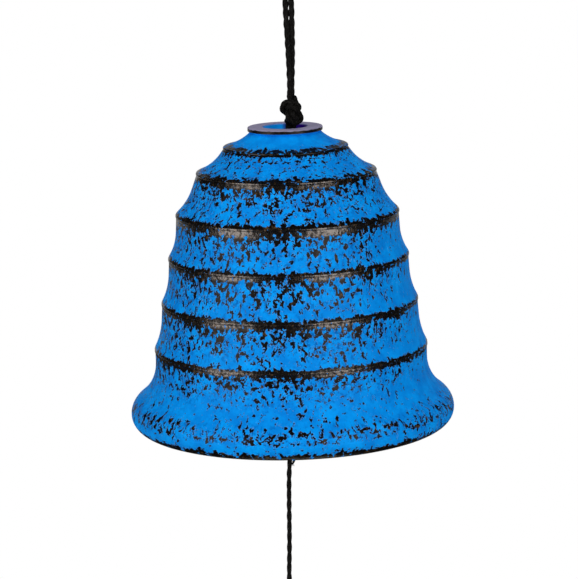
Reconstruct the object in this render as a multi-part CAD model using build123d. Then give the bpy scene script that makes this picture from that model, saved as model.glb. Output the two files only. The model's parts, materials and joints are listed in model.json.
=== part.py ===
from build123d import *
import os
from math import atan2, cos, degrees, radians, tan, pi

# A beehive-shaped cast-iron wind bell. It hangs by a doubled cord from a hook, rings when the
# clapper inside it swings, and carries a paper strip that catches the wind.
# Millimetres. +Z is up. The origin is where the hook bears on the inside of the cord's loop, and
# the bell hangs below it on the Z axis. -Y is the front.

# The bell
lip_radius = 38.0
bell_height = 70.4
hook_to_boss = 36.9
boss_radius = 8.7
boss_thickness = 0.85
boss_overhang = 0.45
ridge_land = 0.38
ridge_step = 0.15
ridge_fillet = 0.45
# the two top ridges, which the wall above meets almost level, are rounded less
top_ridge_fillet = 0.36
top_ridges = 2
boss_fillet = 0.25
ridge_radius_shares = (0.382, 0.552, 0.685, 0.739, 0.790, 0.842)
ridge_height_shares = (0.935, 0.852, 0.715, 0.570, 0.420, 0.267)
# below each ridge the wall runs straight for a share of its tier and then sweeps out in one arc
tier_wall_shares = (0.19, 0.34, 0.35, 0.32, 0.33)
tier_angles = (36.0, 20.0, 3.0, 3.0, 4.0)
# the collar under the boss starts this much steeper than its chord and ends as much flatter
collar_bow = 17.0
flare_wall = 2.7
lip_height = 3.6
flare_turn_share = 0.69
rim_radius = 34.4
rim_land = 1.6

# The inside of the bell
wall_thickness = 3.2
shoulder_thickness = 4.6
crown_thickness = 5.4
ceiling_radius = 7.0
recess_radius = 5.3
recess_depth = 2.4
hole_radius = 1.7
overrun = 1.0

# The cord: one strand, and two strands lying side by side
strand_radius = 0.575
pair_radius = 1.15
hook_radius = 2.7
arc_share = 0.45
swivel_clearance = 0.05
seat_gap = 0.15

# The loop over the hook: points chosen by hand, seen from the front, X and Z
loop_points = (
    (-0.60, -12.40),
    (-0.63, -8.40),
    (-3.35, -1.26),
    (0.0, 1.24),
    (3.35, -1.26),
    (0.63, -8.40),
    (0.60, -12.40),
)
throat_length = 1.2

# The knots
upper_knot_top = 29.6
upper_knot_length = 7.1
upper_turn_radius = 1.45
lower_turn_radius = 0.8
lower_turn_cord = 0.95
lower_turn_shift = 0.9
lower_turn_lift = 1.4
turn_lift = 1.9
crown_knot_length = 5.0
crown_turn_radius = 1.8
clapper_knot_length = 3.6
clapper_turn_radius = 1.0
strip_knot_length = 3.4
strip_turn_radius = 0.95
turn_height_shares = (0.39, 0.63)
knot_tilt = 24.0
tail_radius = 0.3
tail_length = 3.0
tail_angle = 8.0

# Where the neck of the cord bends, below the top of the boss
neck_depth = 0.7

# The clapper
clapper_radius = 13.0
clapper_thickness = 4.0
clapper_fillet = 0.9
clapper_hub_radius = 3.6
clapper_hub_rise = 0.8
clapper_drop = 0.85
clapper_hole_clearance = 0.3

# The wind strip and the cord that carries it
strip_cord_length = 37.5
strip_width = 50.0
strip_length = 118.0
strip_thickness = 0.35
strip_hole_radius = 2.5
strip_margin = 7.0
strip_corner = 1.0
tie_leg_spread = 1.75
tie_leg_spacing = 0.9
tie_turn = 1.6
tie_bend = 0.9
tie_gap = 0.12
strip_drop = 0.6

# How far each swinging piece goes, in degrees
cord_swing = 30.0
bell_swing = 20.0
clapper_swing = 17.8
strip_swing = 35.0
strip_flap = 40.0

# Places along the Z axis
boss_z = -hook_to_boss
rim_z = boss_z - bell_height
ceiling_z = boss_z - crown_thickness
throat_z = loop_points[0][1]
cord_pivot_z = throat_z - throat_length
upper_knot_z = -upper_knot_top
neck_pivot_z = boss_z - neck_depth
crown_knot_z = ceiling_z - seat_gap
clapper_pivot_z = crown_knot_z - crown_knot_length - seat_gap
clapper_z = rim_z - clapper_drop
clapper_knot_z = clapper_z - clapper_thickness
strip_pivot_z = clapper_knot_z - clapper_knot_length - seat_gap
strip_knot_z = strip_pivot_z - strip_cord_length
flap_pivot_z = strip_knot_z + seat_gap
strip_top_z = strip_knot_z - strip_knot_length - strip_drop
strip_hole_z = strip_top_z - strip_margin - strip_hole_radius


def swivel_radius(cord_radius, swing):
    """Radius of the round end on which a cord bends up to the given angle without fouling its seat."""
    return cord_radius / cos(radians(swing / 2))


def rod(radius, top_z, bottom_z):
    """A plumb length of cord or core on the Z axis."""
    return Pos(0, 0, (top_z + bottom_z) / 2) * Cylinder(radius, top_z - bottom_z)


def swivel_seat(cord_radius, swing, z):
    """The hollow in a knot or cord end that a round cord end sits in."""
    return Pos(0, 0, z) * Sphere(swivel_radius(cord_radius, swing) + swivel_clearance)


def swivel_end(cord_radius, swing, z):
    """The round end of a cord, centred on the point where it bends."""
    return Pos(0, 0, z) * Sphere(swivel_radius(cord_radius, swing))


def cord_turn(turn_radius, cord_radius, z, tilt, shift=0.0):
    """One tight turn of a knot, as a ring of cord tilted to one side."""
    return Pos(shift, 0, z) * Rot(0, tilt, 0) * Torus(turn_radius, cord_radius)


def stopper_knot(top_z, length, turn_radius, cord_radius):
    """A knot of two crossed turns round the cord, flat where it meets the next stretch."""
    knot = rod(cord_radius, top_z, top_z - length)
    for share, tilt in zip(turn_height_shares, (knot_tilt, -knot_tilt)):
        knot += cord_turn(turn_radius, cord_radius, top_z - length * share, tilt)
    return knot


def outer_outline():
    """The bell's outside, from the middle of the boss down to the rim, as radius and height."""
    pieces = []
    pen = (0, boss_z)

    def line_to(radius, z):
        nonlocal pen
        pieces.append(Line(pen, (radius, z)))
        pen = (radius, z)

    def arc_to(radius, z, tangent):
        nonlocal pen
        pieces.append(TangentArc(pen, (radius, z), tangent=tangent))
        pen = (radius, z)

    line_to(boss_radius, boss_z)
    line_to(boss_radius, boss_z - boss_thickness)
    line_to(boss_radius - boss_overhang, boss_z - boss_thickness - boss_overhang)
    radii = [share * lip_radius for share in ridge_radius_shares]
    heights = [rim_z + share * bell_height for share in ridge_height_shares]
    collar_end = (radii[0], heights[0] + ridge_land / 2)
    chord_angle = degrees(atan2(collar_end[0] - pen[0], pen[1] - collar_end[1]))
    arc_to(collar_end[0], collar_end[1], (tan(radians(chord_angle - collar_bow)), -1))
    line_to(radii[0], heights[0] - ridge_land / 2)
    for k, (wall_share, angle) in enumerate(zip(tier_wall_shares, tier_angles)):
        slope = tan(radians(angle))
        wall = wall_share * (heights[k] - heights[k + 1])
        line_to(radii[k] - ridge_step, heights[k] - ridge_land / 2 - ridge_step)
        line_to(pen[0] + wall * slope, pen[1] - wall)
        arc_to(radii[k + 1], heights[k + 1] + ridge_land / 2, (slope, -1))
        line_to(radii[k + 1], heights[k + 1] - ridge_land / 2)
    line_to(radii[-1] - ridge_step, heights[-1] - ridge_land / 2 - ridge_step)
    line_to(pen[0], pen[1] - flare_wall)
    # the flare turns out and back on two arcs that share one chord
    turn = (
        pen[0] + flare_turn_share * (lip_radius - pen[0]),
        pen[1] + flare_turn_share * (rim_z + lip_height - pen[1]),
    )
    arc_to(turn[0], turn[1], (0, -1))
    arc_to(lip_radius, rim_z + lip_height, pieces[-1] % 1)
    arc_to(rim_radius, rim_z, (0, -1))
    return pieces, radii, heights


def inner_outline(radii, heights):
    """The bell's inside, from the rim up to the flat ceiling under the crown."""
    rim_inner = (rim_radius - rim_land, rim_z)
    low = (radii[5] - wall_thickness, heights[5])
    middle = (radii[3] - wall_thickness, heights[3])
    high = (radii[2] - wall_thickness, heights[2])
    shoulder = (radii[1] - shoulder_thickness, heights[1])
    edge = (ceiling_radius, ceiling_z)
    wall = Spline(rim_inner, low, middle, high, shoulder, edge)
    return [Line((rim_radius, rim_z), rim_inner), wall, Line(edge, (0, ceiling_z))]


def bell_body():
    """The casting: six ridged tiers, crown boss with its funnel recess, flared lip, hollow inside."""
    outside, radii, heights = outer_outline()
    inside = inner_outline(radii, heights)
    middle = Line((0, ceiling_z), (0, boss_z))
    face = make_face(Curve() + outside + inside + [middle])
    # the top corner of each ridge and the rim of the boss are rounded
    fillets = [top_ridge_fillet] * top_ridges + [ridge_fillet] * (len(radii) - top_ridges)
    for radius, z, size in zip(radii, heights, fillets):
        corner = face.vertices().sort_by_distance((radius, z + ridge_land / 2, 0))[0]
        face = fillet(corner, size)
    boss_corner = face.vertices().sort_by_distance((boss_radius, boss_z, 0))[0]
    face = fillet(boss_corner, boss_fillet)
    bell = revolve(Plane.XZ * face, Axis.Z)
    bowl = [
        Line((0, boss_z), (recess_radius, boss_z)),
        TangentArc((recess_radius, boss_z), (hole_radius, boss_z - recess_depth), tangent=(-1, -1)),
        Line((hole_radius, boss_z - recess_depth), (0, boss_z - recess_depth)),
        Line((0, boss_z - recess_depth), (0, boss_z)),
    ]
    recess = revolve(Plane.XZ * make_face(Curve() + bowl), Axis.Z)
    return bell - recess - rod(hole_radius, boss_z, ceiling_z - overrun)


def corner_radius(points, index, largest):
    """The arc at one point of the cord's route: a share of what its shorter run allows."""
    here = Vector(points[index])
    before = here - Vector(points[index - 1])
    after = Vector(points[index + 1]) - here
    turn = radians(before.get_angle(after))
    return min(arc_share * min(before.length, after.length) / tan(turn / 2), largest)


def loop_bight():
    """The doubled cord over the hook: its arch, its two legs and the throat where they meet."""
    points = [(x, 0, z) for x, z in loop_points]
    corners = range(1, len(points) - 1)
    arch = corners[1:-1]
    radii = [corner_radius(points, i, hook_radius if i in arch else hook_to_boss) for i in corners]
    print("loop radii", [round(r, 2) for r in radii])
    path = FilletPolyline(*points, radius=radii)
    section = Plane(origin=points[0], z_dir=path % 0) * Circle(strand_radius)
    tube = sweep(section, path=path)
    print("loop length", round(path.length, 2), "volume share",
          round(tube.volume / (pi * strand_radius ** 2 * path.length), 4))
    throat = rod(pair_radius, throat_z, cord_pivot_z)
    reach = pair_radius * tan(radians(cord_swing / 2)) + swivel_clearance
    throat -= rod(pair_radius + overrun, cord_pivot_z + reach, cord_pivot_z - overrun)
    return tube + throat - swivel_seat(pair_radius, cord_swing, cord_pivot_z)


def hanging_cord():
    """The two legs lying together, from the throat of the loop to the knot above the bell."""
    return rod(pair_radius, cord_pivot_z, upper_knot_z) + swivel_end(pair_radius, cord_swing, cord_pivot_z)


def upper_knot():
    """The knot in the doubled cord right above the boss, its lower turn pushed to one side."""
    bottom_z = upper_knot_z - upper_knot_length
    knot = rod(pair_radius, upper_knot_z, neck_pivot_z)
    knot += cord_turn(upper_turn_radius, pair_radius, upper_knot_z - turn_lift, knot_tilt)
    middle_z = (upper_knot_z + bottom_z) / 2
    knot += cord_turn(upper_turn_radius, pair_radius, middle_z, -knot_tilt)
    lower_z = bottom_z + lower_turn_lift
    knot += cord_turn(lower_turn_radius, lower_turn_cord, lower_z, knot_tilt, lower_turn_shift)
    reach = pair_radius * tan(radians(bell_swing / 2)) + swivel_clearance
    knot -= rod(pair_radius + overrun, neck_pivot_z + reach, neck_pivot_z - overrun)
    return knot - swivel_seat(pair_radius, bell_swing, neck_pivot_z)


def neck_cord():
    """The doubled cord through the hole in the crown."""
    return rod(pair_radius, neck_pivot_z, crown_knot_z) + swivel_end(pair_radius, bell_swing, neck_pivot_z)


def crown_knot():
    """The stopper knot under the crown, which the bell rests on."""
    knot = stopper_knot(crown_knot_z, crown_knot_length, crown_turn_radius, pair_radius)
    return knot - swivel_seat(strand_radius, clapper_swing, clapper_pivot_z)


def clapper_cord():
    """The single strand from the stopper knot down through the clapper."""
    cord = rod(strand_radius, clapper_pivot_z, clapper_knot_z)
    return cord + swivel_end(strand_radius, clapper_swing, clapper_pivot_z)


def clapper():
    """The striker: a flat cast disc with rounded edges, a low hub and a hole for the cord."""
    disc = rod(clapper_radius, clapper_z, clapper_knot_z)
    disc = fillet(disc.edges().filter_by(GeomType.CIRCLE), clapper_fillet)
    hub = rod(clapper_hub_radius, clapper_z + clapper_hub_rise, clapper_knot_z)
    bore = rod(
        strand_radius + clapper_hole_clearance,
        clapper_z + clapper_hub_rise + overrun,
        clapper_knot_z - overrun,
    )
    return disc + hub - bore


def clapper_knot():
    """The knot that carries the clapper, with the short tail of the cord beside it."""
    top_z = clapper_knot_z
    knot = stopper_knot(top_z, clapper_knot_length, clapper_turn_radius, strand_radius)
    tail_x = clapper_turn_radius + strand_radius / 2
    tail = Pos(tail_x, 0, top_z - clapper_knot_length) * Rot(0, -tail_angle, 0)
    knot += tail * Cylinder(tail_radius, tail_length)
    return knot - swivel_seat(strand_radius, strip_swing, strip_pivot_z)


def strip_cord():
    """The strand that hangs out of the bell, from the clapper's knot to the strip's knot."""
    cord = rod(strand_radius, strip_pivot_z, flap_pivot_z)
    cord += swivel_end(strand_radius, strip_swing, strip_pivot_z)
    return cord + swivel_end(strand_radius, strip_flap, flap_pivot_z)


def strip_knot():
    """The knot above the paper strip."""
    knot = stopper_knot(strip_knot_z, strip_knot_length, strip_turn_radius, strand_radius)
    return knot - swivel_seat(strand_radius, strip_flap, flap_pivot_z)


def strip_tie():
    """The loop of cord from that knot, down one face of the strip, through its hole and back up."""
    top_z = strip_knot_z - strip_knot_length
    turn_z = strip_hole_z + strip_hole_radius - strand_radius - tie_gap + tie_leg_spread
    route = [
        (0, -tie_leg_spacing, top_z),
        (0, -tie_leg_spread, turn_z),
        (0, -tie_leg_spread, turn_z - tie_leg_spread),
        (0, tie_leg_spread, turn_z - tie_leg_spread),
        (0, tie_leg_spread, turn_z),
        (0, tie_leg_spacing, top_z),
    ]
    path = FilletPolyline(*route, radius=[tie_bend, tie_turn, tie_turn, tie_bend])
    section = Plane(origin=route[0], z_dir=path % 0) * Circle(strand_radius)
    return sweep(section, path=path)


def wind_strip():
    """The paper strip with its punched hole."""
    middle_z = strip_top_z - strip_length / 2
    sheet = Pos(0, 0, middle_z) * Box(strip_width, strip_thickness, strip_length)
    sheet = fillet(sheet.edges().filter_by(Axis.Y), strip_corner)
    hole = Pos(0, 0, strip_hole_z) * Rot(90, 0, 0) * Cylinder(strip_hole_radius, strip_thickness + overrun)
    return sheet - hole


pieces = {
    "loop_bight": loop_bight,
    "hanging_cord": hanging_cord,
    "upper_knot": upper_knot,
    "neck_cord": neck_cord,
    "bell_body": bell_body,
    "crown_knot": crown_knot,
    "clapper_cord": clapper_cord,
    "clapper": clapper,
    "clapper_knot": clapper_knot,
    "strip_cord": strip_cord,
    "strip_knot": strip_knot,
    "strip_tie": strip_tie,
    "wind_strip": wind_strip,
}

os.makedirs("parts", exist_ok=True)
for name, make in pieces.items():
    solid = make()
    export_step(solid, f"parts/{name}.step")
    print(name, round(solid.volume, 2), "mm3")
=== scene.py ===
"""Looks of a beehive-shaped cast-iron wind bell with brushed blue paint over brown-black lacquer.

Metres, +Z up. The origin is where the hook bears inside the cord's loop, and -Y is the front.
Places and the heights in a bend are written in millimetres, and mm() turns them into metres.
"""

import json
import logging
import math
from dataclasses import dataclass
from enum import Enum
from functools import reduce
from statistics import NormalDist
from typing import Optional, Sequence, Union

import bpy
import numpy as np
from mathutils import Matrix, Vector

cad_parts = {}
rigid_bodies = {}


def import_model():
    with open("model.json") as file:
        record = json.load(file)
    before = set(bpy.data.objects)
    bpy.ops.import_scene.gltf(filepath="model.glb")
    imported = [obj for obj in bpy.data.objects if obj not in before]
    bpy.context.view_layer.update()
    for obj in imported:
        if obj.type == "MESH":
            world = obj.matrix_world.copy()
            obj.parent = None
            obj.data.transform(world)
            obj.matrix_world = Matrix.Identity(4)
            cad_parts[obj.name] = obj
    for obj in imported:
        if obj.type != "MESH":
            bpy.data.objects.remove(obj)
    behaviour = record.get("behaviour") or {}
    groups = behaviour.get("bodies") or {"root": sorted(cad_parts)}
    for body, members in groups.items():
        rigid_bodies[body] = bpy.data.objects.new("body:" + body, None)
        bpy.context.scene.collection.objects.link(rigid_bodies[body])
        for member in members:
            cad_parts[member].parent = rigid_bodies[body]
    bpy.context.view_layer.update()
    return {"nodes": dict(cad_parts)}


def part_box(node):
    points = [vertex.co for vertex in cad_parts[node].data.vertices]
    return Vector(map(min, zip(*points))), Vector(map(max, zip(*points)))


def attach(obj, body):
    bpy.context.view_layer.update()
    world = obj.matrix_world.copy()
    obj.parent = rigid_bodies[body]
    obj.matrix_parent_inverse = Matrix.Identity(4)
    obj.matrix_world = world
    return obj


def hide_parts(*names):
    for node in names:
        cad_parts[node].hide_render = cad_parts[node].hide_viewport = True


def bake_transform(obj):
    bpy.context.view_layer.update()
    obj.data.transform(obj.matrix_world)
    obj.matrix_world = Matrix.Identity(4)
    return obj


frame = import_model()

LOG = logging.getLogger("wind_bell")
MM = 0.001
NEVER_ZERO = 1e-12

# A Pair is two values that belong together, and a Span runs from one value to another. A Spread turns
# two values into two others, and a Relief is a depth in metres with the share of it that shows.
Socket = bpy.types.NodeSocket
Value = Union[float, Sequence[float], Socket]
Place = tuple[float, float, float]
Colour = tuple[float, float, float]
Pair = tuple[float, float]
Span = tuple[float, float]
Spread = tuple[float, float, float, float]
Relief = tuple[float, float]
Stop = tuple[float, Sequence[float]]


class Body(str, Enum):
    """The parts of the bell that move on their own."""

    LOOP = "loop"
    CORD = "cord"
    KNOT = "knot"
    BELL = "bell"
    STOPPER = "stopper"
    STRIKER = "striker"
    STRIKER_KNOT = "striker_knot"
    LOWER_CORD = "lower_cord"
    STRIP = "strip"


class Slot(str, Enum):
    """The record's material slots."""

    PAINT = "bell_paint"
    IRON = "clapper_iron"
    CORD = "cord"
    PAPER = "paper"


def mm(*values: float) -> Vector:
    """A place given in millimetres, as a vector in metres."""
    return Vector(values) * MM


# Node graphs


@dataclass(frozen=True)
class Cloud:
    """A cloudy noise, and the span of its values that is spread from 0 to 1 or between two others."""

    scale: float
    detail: float = 3.0
    roughness: float = 0.5
    distortion: float = 0.0
    span: Sequence[float] = ()


class Graph:
    """A node tree, with short ways to add nodes and join them."""

    def __init__(self, owner: Union[bpy.types.Material, bpy.types.World]) -> None:
        """Start an empty tree.

        Args:
            owner: The material or world that the tree belongs to.
        """
        self.owner = owner
        owner.use_nodes = True
        self.tree = owner.node_tree
        self.tree.nodes.clear()
        kind = "Material" if isinstance(owner, bpy.types.Material) else "World"
        self.output = self.node(f"ShaderNodeOutput{kind}")
        self.coordinates = self.node("ShaderNodeTexCoord").outputs

    def node(self, kind: str, **settings: object) -> bpy.types.Node:
        """Add a node.

        Args:
            kind: Blender's name for the node.
            settings: Values for the node's own properties.

        Returns:
            The new node.
        """
        made = self.tree.nodes.new(kind)
        for name, value in settings.items():
            setattr(made, name, value)
        return made

    def feed(self, socket: Socket, value: Value) -> None:
        """Join an output to a socket, or set the socket's own value.

        Args:
            socket: The input that is fed.
            value: An output or a plain value.
        """
        if isinstance(value, Socket):
            self.tree.links.new(value, socket)
        else:
            socket.default_value = value

    def ordered(self, kind: str, *values: Value, **settings: object) -> Socket:
        """Add a node and feed its inputs in their order.

        Args:
            kind: Blender's name for the node.
            values: What goes into the inputs, from the first on.
            settings: Values for the node's own properties.

        Returns:
            The node's first output.
        """
        made = self.node(kind, **settings)
        for socket, value in zip(made.inputs, values):
            self.feed(socket, value)
        return made.outputs[0]

    def named(self, kind: str, **values: Value) -> Socket:
        """Add a node and feed its inputs by name.

        Args:
            kind: Blender's name for the node.
            values: What goes into each input, with an underscore where its name has a space.

        Returns:
            The node's first output.
        """
        made = self.node(kind)
        for name, value in values.items():
            self.feed(made.inputs[name.replace("_", " ")], value)
        return made.outputs[0]

    def math(self, operation: str, *values: Value) -> Socket:
        """The answer to one of Blender's sums, from one, two or three values."""
        return self.ordered("ShaderNodeMath", *values, operation=operation)

    def plus(self, *values: Value) -> Socket:
        """The sum of values."""
        return reduce(lambda first, second: self.math("ADD", first, second), values)

    def minus(self, value: Value, taken: Value) -> Socket:
        """One value less another."""
        return self.math("SUBTRACT", value, taken)

    def times(self, *values: Value) -> Socket:
        """The product of values."""
        return reduce(lambda first, second: self.math("MULTIPLY", first, second), values)

    def scaled(self, value: Value, factor: Value, added: Value) -> Socket:
        """A value times a factor, with something added."""
        return self.math("MULTIPLY_ADD", value, factor, added)

    def least(self, *values: Value) -> Socket:
        """The smallest of values."""
        return reduce(lambda first, second: self.math("MINIMUM", first, second), values)

    def most(self, *values: Value) -> Socket:
        """The largest of values."""
        return reduce(lambda first, second: self.math("MAXIMUM", first, second), values)

    def from_axis(self, x: Socket, y: Socket) -> Socket:
        """The distance from the upright axis."""
        return self.math("SQRT", self.plus(self.times(x, x), self.times(y, y)))

    def between(self, value: Value, low: float, high: float, start: Value = 0.0, end: Value = 1.0,
                smooth: bool = False) -> Socket:
        """Map a range of a value onto another range, with both ends held.

        Args:
            value: The output that is mapped.
            low: The value that gives start.
            high: The value that gives end.
            start: The answer at low.
            end: The answer at high.
            smooth: Ease in and out of the range.

        Returns:
            The mapped output.
        """
        kind = "SMOOTHSTEP" if smooth else "LINEAR"
        return self.ordered("ShaderNodeMapRange", value, low, high, start, end,
                            interpolation_type=kind, clamp=True)

    def noise(self, vector: Socket, cloud: Cloud) -> Socket:
        """Add a cloudy noise.

        Args:
            vector: The places that it is read at.
            cloud: Its settings.

        Returns:
            Its value, spread as the settings say.
        """
        value = self.named("ShaderNodeTexNoise", Vector=vector, Scale=cloud.scale, Detail=cloud.detail,
                           Roughness=cloud.roughness, Distortion=cloud.distortion)
        return self.between(value, *cloud.span) if cloud.span else value

    def rows(self, value: Value, stops: Sequence[Stop], steps: bool = False) -> Sequence[Socket]:
        """Look a value up in a table of stops.

        Args:
            value: The output that is looked up.
            stops: Positions from 0 to 1, each with one, two or three numbers.
            steps: Hold each stop's numbers until the next one.

        Returns:
            An output for each of three numbers.
        """
        made = self.node("ShaderNodeValToRGB")
        made.color_ramp.interpolation = "CONSTANT" if steps else "LINEAR"
        elements = made.color_ramp.elements
        while len(elements) < len(stops):
            elements.new(1.0)
        for element, (position, numbers) in zip(elements, sorted(stops, key=lambda stop: stop[0])):
            element.position = position
            element.color = (*(*numbers, 0.0, 0.0)[:3], 1.0)
        self.feed(made.inputs[0], value)
        return self.parts(made.outputs[0])

    def parts(self, vector: Socket) -> Sequence[Socket]:
        """Split a vector or colour into its three numbers.

        Args:
            vector: The output that is split.

        Returns:
            An output for each number.
        """
        made = self.node("ShaderNodeSeparateXYZ")
        self.feed(made.inputs[0], vector)
        return made.outputs

    def vector(self, *values: Value) -> Socket:
        """A vector made from three numbers."""
        return self.ordered("ShaderNodeCombineXYZ", *values)

    def mix(self, share: Value, first: Value, second: Value, numbers: bool = False) -> Socket:
        """Mix two colours, or two numbers.

        Args:
            share: 0 for the first and 1 for the second.
            first: An output, a colour or a number.
            second: An output, a colour or a number.
            numbers: Mix numbers.

        Returns:
            The mixed colour or number.
        """
        made = self.node("ShaderNodeMix", data_type="FLOAT" if numbers else "RGBA")
        # the node has sockets of its own for each kind that it mixes
        inputs, output = (made.inputs[2:4], 0) if numbers else (made.inputs[6:8], 2)
        self.feed(made.inputs["Factor"], share)
        for socket, value in zip(inputs, (first, second)):
            self.feed(socket, (*value, 1.0) if isinstance(value, tuple) else value)
        return made.outputs[output]

    def bump(self, height: Socket, depth: float, strength: float, under: Optional[Socket] = None) -> Socket:
        """Raise the surface by a height.

        Args:
            height: The output read as height, from 0 to 1.
            depth: How far 1 stands out, in metres.
            strength: The share of that which shows.
            under: A bump that this one lies on.

        Returns:
            The bent normal.
        """
        lower = {} if under is None else {"Normal": under}
        return self.named("ShaderNodeBump", Height=height, Distance=depth, Strength=strength, **lower)

    def surface(self, shader: Socket) -> None:
        """Join a shader to the tree's output."""
        self.feed(self.output.inputs["Surface"], shader)

    def finish(self, **sockets: Value) -> bpy.types.Material:
        """Add the surface shader and join it to the output.

        Args:
            sockets: What goes into its inputs, by name.

        Returns:
            The finished material.
        """
        self.surface(self.named("ShaderNodeBsdfPrincipled", **sockets))
        return self.owner


# Finishes


@dataclass(frozen=True)
class Tier:
    """One tier of the bell and the ridge on top of it.

    ridge is the ridge's height as a share of the bell's. girth and streak stretch the specks round
    and down the tier. rise narrows the bare band above the ridge, and thin takes millimetres off the
    one under it. wiped is how much of the harder wiped side it gets, and cleaned takes specks off.
    """

    ridge: float
    girth: float
    streak: float
    rise: float
    thin: float
    wiped: float
    cleaned: float


@dataclass(frozen=True)
class Boss:
    """Where the boss on top of the bell is bare, where its flat top gets a painted reflection, and where
    its bowl gets painted shade.

    Heights are shares of the bell's height and radii are in metres. A span goes from where the
    marking starts to where it is full.
    """

    side: Span = (0.9860, 0.9885)
    side_radius: Span = (7.8 * MM, 8.2 * MM)
    side_top: Span = (0.001, -0.001)
    ragged: Cloud = Cloud(500.0, 2.0, span=(0.3, 0.7, 0.9955, 0.9985))
    top: Span = (0.9955, 0.9965)
    top_radius: Span = (5.0 * MM, 5.4 * MM)
    bowl_radius: Span = (5.5 * MM, 5.1 * MM)
    bore_radius: Span = (2.6 * MM, 2.0 * MM)
    painted_reflection_share: float = 0.93
    bowl_shade_cloud: float = 0.6
    bowl_shade_from: Span = (0.10, 0.40)


@dataclass
class Spot:
    """The outputs that say where on the casting a point lies and whether the wiping left it bare.

    share is its height as a share of the bell's, around its place on a cloth wrapped round its tier,
    and clouds a noise of large patches. level is the value of the grain above which the lacquer
    shows, and over how far the grain there lies above it.
    """

    here: Socket
    radius: Socket
    east: Socket
    share: Socket
    around: Socket
    clouds: Socket
    level: Socket
    over: Socket


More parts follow.
